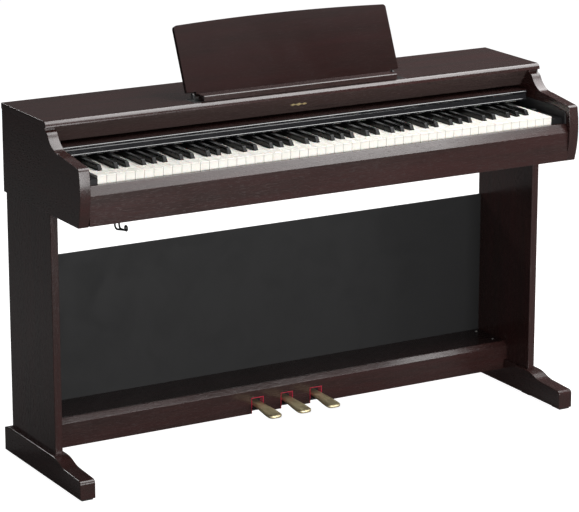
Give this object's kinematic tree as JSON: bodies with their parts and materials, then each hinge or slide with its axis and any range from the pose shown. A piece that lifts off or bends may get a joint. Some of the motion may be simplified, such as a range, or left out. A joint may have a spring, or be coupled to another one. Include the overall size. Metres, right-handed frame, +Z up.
{
  "type": "digital piano on stand",
  "caption": "Upright-cabinet digital piano on a panel-leg stand with sliding key cover, folding music rest and brass pedals.",
  "frame": {"origin": "middle of the footprint on the floor", "axes": "+Z up, -Y towards the player, +X to the player's right"},
  "size_m": [1.357, 0.422, 1.0199],
  "materials": {
    "rosewood": "dark rosewood-grain foil with a satin sheen",
    "rosewood_dark": "the same dark foil in shade, satin",
    "hardboard": "raw brown hardboard",
    "matte_black_board": "matte black painted board",
    "satin_black": "satin black moulding",
    "gloss_black": "polished black",
    "button_black": "fine satin black",
    "lamp_red": "clear red lens",
    "key_ivory": "warm white, semi-gloss",
    "key_black": "black, satin",
    "chassis_grey": "grey moulding",
    "speaker_black": "paper cone and black basket",
    "circuit_green": "green circuit board",
    "zinc_steel": "zinc-plated steel",
    "spring_steel": "spring wire",
    "pedal_brass": "polished pale brass plate, lightly worn",
    "crimson_felt": "crimson felt",
    "foot_rubber": "black rubber-felt pad",
    "adjuster_black": "black moulding",
    "wire_black": "black coated wire"
  },
  "bodies": {
    "cabinet": {"cabinet_back_panel": "hardboard", "circuit_board": "circuit_green", "cover_tracks": "satin_black", "foot_pads": "foot_rubber", "headphone_hook": "wire_black", "headphone_jack_box": "satin_black", "key_bed": "rosewood_dark", "key_slip": "rosewood", "keyboard_chassis": "chassis_grey", "left_cheek": "rosewood", "left_cover_guide": "satin_black", "left_end_block": "gloss_black", "left_foot": "rosewood", "left_leg": "rosewood", "left_speaker": "speaker_black", "pedal_adjuster": "adjuster_black", "pedal_chassis": "zinc_steel", "pedal_felts": "crimson_felt", "pedal_front_board": "rosewood", "pedal_springs": "spring_steel", "pedal_top_board": "rosewood_dark", "power_inlet": "satin_black", "power_lamp": "lamp_red", "rest_hinge_rail": "satin_black", "right_cheek": "rosewood", "right_cover_guide": "satin_black", "right_end_block": "gloss_black", "right_foot": "rosewood", "right_leg": "rosewood", "right_speaker": "speaker_black", "stand_back_panel": "matte_black_board", "stand_screws": "zinc_steel", "top_board": "rosewood", "upper_front_panel": "rosewood"},
    "music_rest": {"music_rest_panel": "rosewood", "music_rest_ledge": "rosewood"},
    "left_stay": {"left_rest_stay": "zinc_steel"},
    "right_stay": {"right_rest_stay": "zinc_steel"},
    "key_cover": {"cover_board": "rosewood", "cover_rail": "gloss_black"},
    "left_pedal_lever": {"left_pedal": "pedal_brass"},
    "middle_pedal_lever": {"middle_pedal": "pedal_brass"},
    "right_pedal_lever": {"right_pedal": "pedal_brass"},
    "power_switch": {"power_button": "button_black"},
    "volume_control": {"volume_slider": "button_black"},
    "voice_switch": {"voice_button": "button_black"},
    "white_octave_1": {"white_keys_1": "key_ivory"},
    "black_octave_1": {"black_keys_1": "key_black"},
    "white_octave_2": {"white_keys_2": "key_ivory"},
    "black_octave_2": {"black_keys_2": "key_black"},
    "white_octave_3": {"white_keys_3": "key_ivory"},
    "black_octave_3": {"black_keys_3": "key_black"},
    "white_octave_4": {"white_keys_4": "key_ivory"},
    "black_octave_4": {"black_keys_4": "key_black"},
    "white_octave_5": {"white_keys_5": "key_ivory"},
    "black_octave_5": {"black_keys_5": "key_black"},
    "white_octave_6": {"white_keys_6": "key_ivory"},
    "black_octave_6": {"black_keys_6": "key_black"},
    "white_octave_7": {"white_keys_7": "key_ivory"},
    "black_octave_7": {"black_keys_7": "key_black"}
  },
  "joints": [
    {"name": "rest_fold", "type": "hinge", "parent": "cabinet", "child": "music_rest", "pos_m": [0, 0.008, 0.858], "axis": [1, 0, 0], "range_deg": [-66.7, 0]},
    {"name": "left_stay_fold", "type": "hinge", "parent": "music_rest", "child": "left_stay", "pos_m": [-0.19, 0.03798, 0.9213], "axis": [1, 0, 0], "range_deg": [0, 121.8]},
    {"name": "right_stay_fold", "type": "hinge", "parent": "music_rest", "child": "right_stay", "pos_m": [0.19, 0.03798, 0.9213], "axis": [1, 0, 0], "range_deg": [0, 121.8]},
    {"name": "cover_slide", "type": "slide", "parent": "cabinet", "child": "key_cover", "axis": [0, -1, 0], "range_m": [0, 0.138]},
    {"name": "white_octave_1_press", "type": "hinge", "parent": "cabinet", "child": "white_octave_1", "pos_m": [0, 0.03, 0.74], "axis": [1, 0, 0], "range_deg": [0, 2.7], "stiffness_Nm_per_rad": 2.5, "springref_deg": -40.11},
    {"name": "black_octave_1_press", "type": "hinge", "parent": "cabinet", "child": "black_octave_1", "pos_m": [0, 0.03, 0.74], "axis": [1, 0, 0], "range_deg": [0, 2.7], "stiffness_Nm_per_rad": 1.2, "springref_deg": -40.11},
    {"name": "white_octave_2_press", "type": "hinge", "parent": "cabinet", "child": "white_octave_2", "pos_m": [0, 0.03, 0.74], "axis": [1, 0, 0], "range_deg": [0, 2.7], "stiffness_Nm_per_rad": 2.5, "springref_deg": -40.11},
    {"name": "black_octave_2_press", "type": "hinge", "parent": "cabinet", "child": "black_octave_2", "pos_m": [0, 0.03, 0.74], "axis": [1, 0, 0], "range_deg": [0, 2.7], "stiffness_Nm_per_rad": 1.2, "springref_deg": -40.11},
    {"name": "white_octave_3_press", "type": "hinge", "parent": "cabinet", "child": "white_octave_3", "pos_m": [0, 0.03, 0.74], "axis": [1, 0, 0], "range_deg": [0, 2.7], "stiffness_Nm_per_rad": 2.5, "springref_deg": -40.11},
    {"name": "black_octave_3_press", "type": "hinge", "parent": "cabinet", "child": "black_octave_3", "pos_m": [0, 0.03, 0.74], "axis": [1, 0, 0], "range_deg": [0, 2.7], "stiffness_Nm_per_rad": 1.2, "springref_deg": -40.11},
    {"name": "white_octave_4_press", "type": "hinge", "parent": "cabinet", "child": "white_octave_4", "pos_m": [0, 0.03, 0.74], "axis": [1, 0, 0], "range_deg": [0, 2.7], "stiffness_Nm_per_rad": 2.5, "springref_deg": -40.11},
    {"name": "black_octave_4_press", "type": "hinge", "parent": "cabinet", "child": "black_octave_4", "pos_m": [0, 0.03, 0.74], "axis": [1, 0, 0], "range_deg": [0, 2.7], "stiffness_Nm_per_rad": 1.2, "springref_deg": -40.11},
    {"name": "white_octave_5_press", "type": "hinge", "parent": "cabinet", "child": "white_octave_5", "pos_m": [0, 0.03, 0.74], "axis": [1, 0, 0], "range_deg": [0, 2.7], "stiffness_Nm_per_rad": 2.5, "springref_deg": -40.11},
    {"name": "black_octave_5_press", "type": "hinge", "parent": "cabinet", "child": "black_octave_5", "pos_m": [0, 0.03, 0.74], "axis": [1, 0, 0], "range_deg": [0, 2.7], "stiffness_Nm_per_rad": 1.2, "springref_deg": -40.11},
    {"name": "white_octave_6_press", "type": "hinge", "parent": "cabinet", "child": "white_octave_6", "pos_m": [0, 0.03, 0.74], "axis": [1, 0, 0], "range_deg": [0, 2.7], "stiffness_Nm_per_rad": 2.5, "springref_deg": -40.11},
    {"name": "black_octave_6_press", "type": "hinge", "parent": "cabinet", "child": "black_octave_6", "pos_m": [0, 0.03, 0.74], "axis": [1, 0, 0], "range_deg": [0, 2.7], "stiffness_Nm_per_rad": 1.2, "springref_deg": -40.11},
    {"name": "white_octave_7_press", "type": "hinge", "parent": "cabinet", "child": "white_octave_7", "pos_m": [0, 0.03, 0.74], "axis": [1, 0, 0], "range_deg": [0, 2.7], "stiffness_Nm_per_rad": 2.5, "springref_deg": -40.11},
    {"name": "black_octave_7_press", "type": "hinge", "parent": "cabinet", "child": "black_octave_7", "pos_m": [0, 0.03, 0.74], "axis": [1, 0, 0], "range_deg": [0, 2.7], "stiffness_Nm_per_rad": 1.2, "springref_deg": -40.11},
    {"name": "left_pedal_press", "type": "hinge", "parent": "cabinet", "child": "left_pedal_lever", "pos_m": [-0.082, 0.14, 0.067], "axis": [1, 0, 0], "range_deg": [0, 5], "stiffness_Nm_per_rad": 8, "springref_deg": -20.05},
    {"name": "middle_pedal_press", "type": "hinge", "parent": "cabinet", "child": "middle_pedal_lever", "pos_m": [0, 0.14, 0.067], "axis": [1, 0, 0], "range_deg": [0, 5], "stiffness_Nm_per_rad": 8, "springref_deg": -20.05},
    {"name": "right_pedal_press", "type": "hinge", "parent": "cabinet", "child": "right_pedal_lever", "pos_m": [0.082, 0.14, 0.067], "axis": [1, 0, 0], "range_deg": [0, 5], "stiffness_Nm_per_rad": 8, "springref_deg": -20.05},
    {"name": "power_press", "type": "slide", "parent": "cabinet", "child": "power_switch", "axis": [0, 0, -1], "range_m": [0, 0.0025], "stiffness_N_per_m": 300, "springref_m": -0.004},
    {"name": "voice_press", "type": "slide", "parent": "cabinet", "child": "voice_switch", "axis": [0, 0, -1], "range_m": [0, 0.0025], "stiffness_N_per_m": 300, "springref_m": -0.004},
    {"name": "volume_slide", "type": "slide", "parent": "cabinet", "child": "volume_control", "axis": [0, -1, 0], "range_m": [-0.02, 0.02]}
  ],
  "couplings": [
    {"joint": "left_stay_fold", "follows": "rest_fold", "ratio": -1.8246},
    {"joint": "right_stay_fold", "follows": "rest_fold", "ratio": -1.8246}
  ]
}
